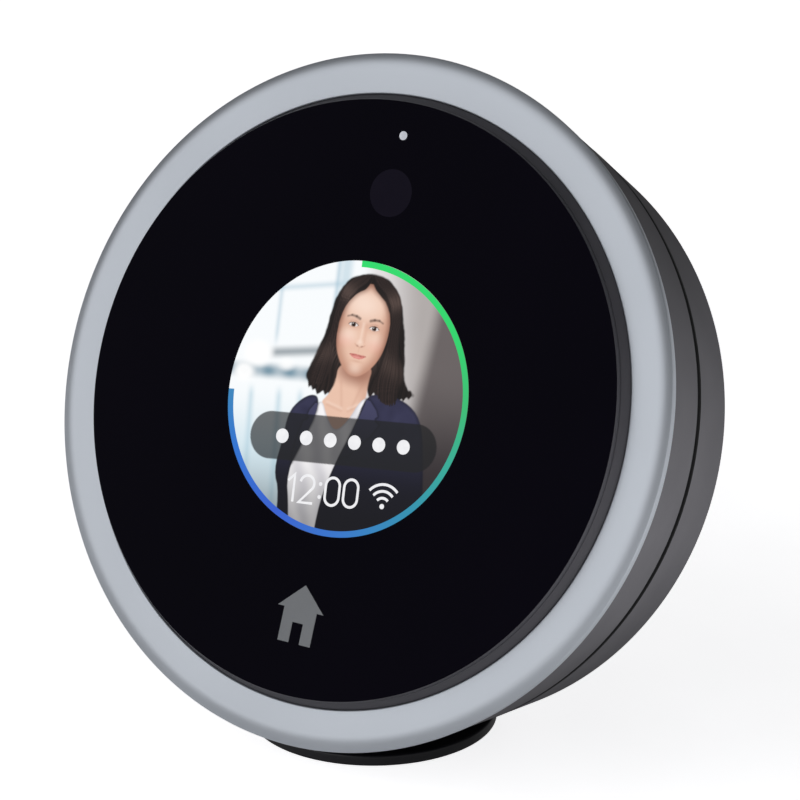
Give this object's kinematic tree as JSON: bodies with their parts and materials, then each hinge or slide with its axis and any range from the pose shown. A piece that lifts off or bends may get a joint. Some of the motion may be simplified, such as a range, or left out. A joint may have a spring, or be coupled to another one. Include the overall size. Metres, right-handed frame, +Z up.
{
  "type": "smart display",
  "caption": "Round desktop smart display: tilted puck with a black glass face, a small round picture and a camera, turning on a low round foot.",
  "frame": {"origin": "on the surface that the foot stands on, on the swivel axis", "axes": "+Z up along the swivel axis, -Y towards the front of the display, +X to the right of a person who faces the glass"},
  "size_m": [0.1348, 0.0867, 0.1303],
  "materials": {
    "ring": "satin pale grey paint",
    "cover_glass": "polished, near-black with a violet cast, printed black behind",
    "mask_ink": "matt black print",
    "carrier": "fine-grained dark grey",
    "shell": "fine satin dark grey",
    "seam": "black",
    "screw_steel": "zinc-plated",
    "lcd": "liquid-crystal panel behind the glass",
    "backlight": "white light guide",
    "bracket_steel": "plain",
    "ribbon": "amber film",
    "board": "green solder mask",
    "chip": "black moulding compound",
    "can": "tinned",
    "heat_sink": "bare",
    "lens_glass": "coated camera glass",
    "barrel": "black",
    "clear_pipe": "clear acrylic",
    "led": "small white light",
    "mic_can": "plain",
    "antenna": "gold-plated",
    "connector": "ivory",
    "foam": "closed-cell foam",
    "basket": "black",
    "magnet": "plain",
    "cone_paper": "black paper",
    "socket": "nickel-plated",
    "label": "blank satin film",
    "button": "satin dark grey",
    "switch": "black",
    "spring": "spring wire",
    "foot_metal": "satin near-black",
    "post_steel": "turned",
    "pad": "black",
    "glide": "natural acetal"
  },
  "bodies": {
    "foot": {"base_plate": "foot_metal", "swivel_post": "post_steel", "foot_pad": "pad", "glide_washer": "glide", "stop_pin": "post_steel", "retaining_ring": "spring"},
    "head": {"front_ring": "ring", "front_glass": "cover_glass", "glass_mask": "mask_ink", "glass_carrier": "carrier", "flange_screws": "screw_steel", "display_panel": "lcd", "display_backlight": "backlight", "display_bracket": "bracket_steel", "display_screws": "screw_steel", "display_flex": "ribbon", "camera_barrel": "barrel", "camera_lens": "lens_glass", "camera_board": "board", "light_pipe": "clear_pipe", "sensor_board": "board", "sensor_screws": "screw_steel", "status_light": "led", "microphone": "mic_can", "main_board": "board", "board_screws": "screw_steel", "shield_can": "can", "processor": "chip", "heat_spreader": "heat_sink", "flex_connector": "connector", "wifi_antenna_left": "antenna", "wifi_antenna_right": "antenna", "front_shell": "shell", "seam_gasket": "seam", "rear_shell": "shell", "rating_label": "label", "shell_screws": "screw_steel", "speaker_gasket": "foam", "speaker_basket": "basket", "speaker_magnet": "magnet", "speaker_cone": "cone_paper", "speaker_screws": "screw_steel", "port_board": "board", "port_board_screws": "screw_steel", "power_socket": "socket", "reset_switch": "switch", "button_spring": "spring", "swivel_bush": "glide", "spring_washer": "spring"},
    "reset_button": {"reset_button": "button"}
  },
  "joints": [
    {"name": "head_swivel", "type": "hinge", "parent": "foot", "child": "head", "pos_m": [0, 0, 0.0033], "axis": [0, 0, 1], "range_deg": [-45, 45]},
    {"name": "reset_press", "type": "slide", "parent": "head", "child": "reset_button", "axis": [0, -0.9191, 0.3939], "range_m": [0, 0.0008], "stiffness_N_per_m": 400, "springref_m": -0.001}
  ]
}
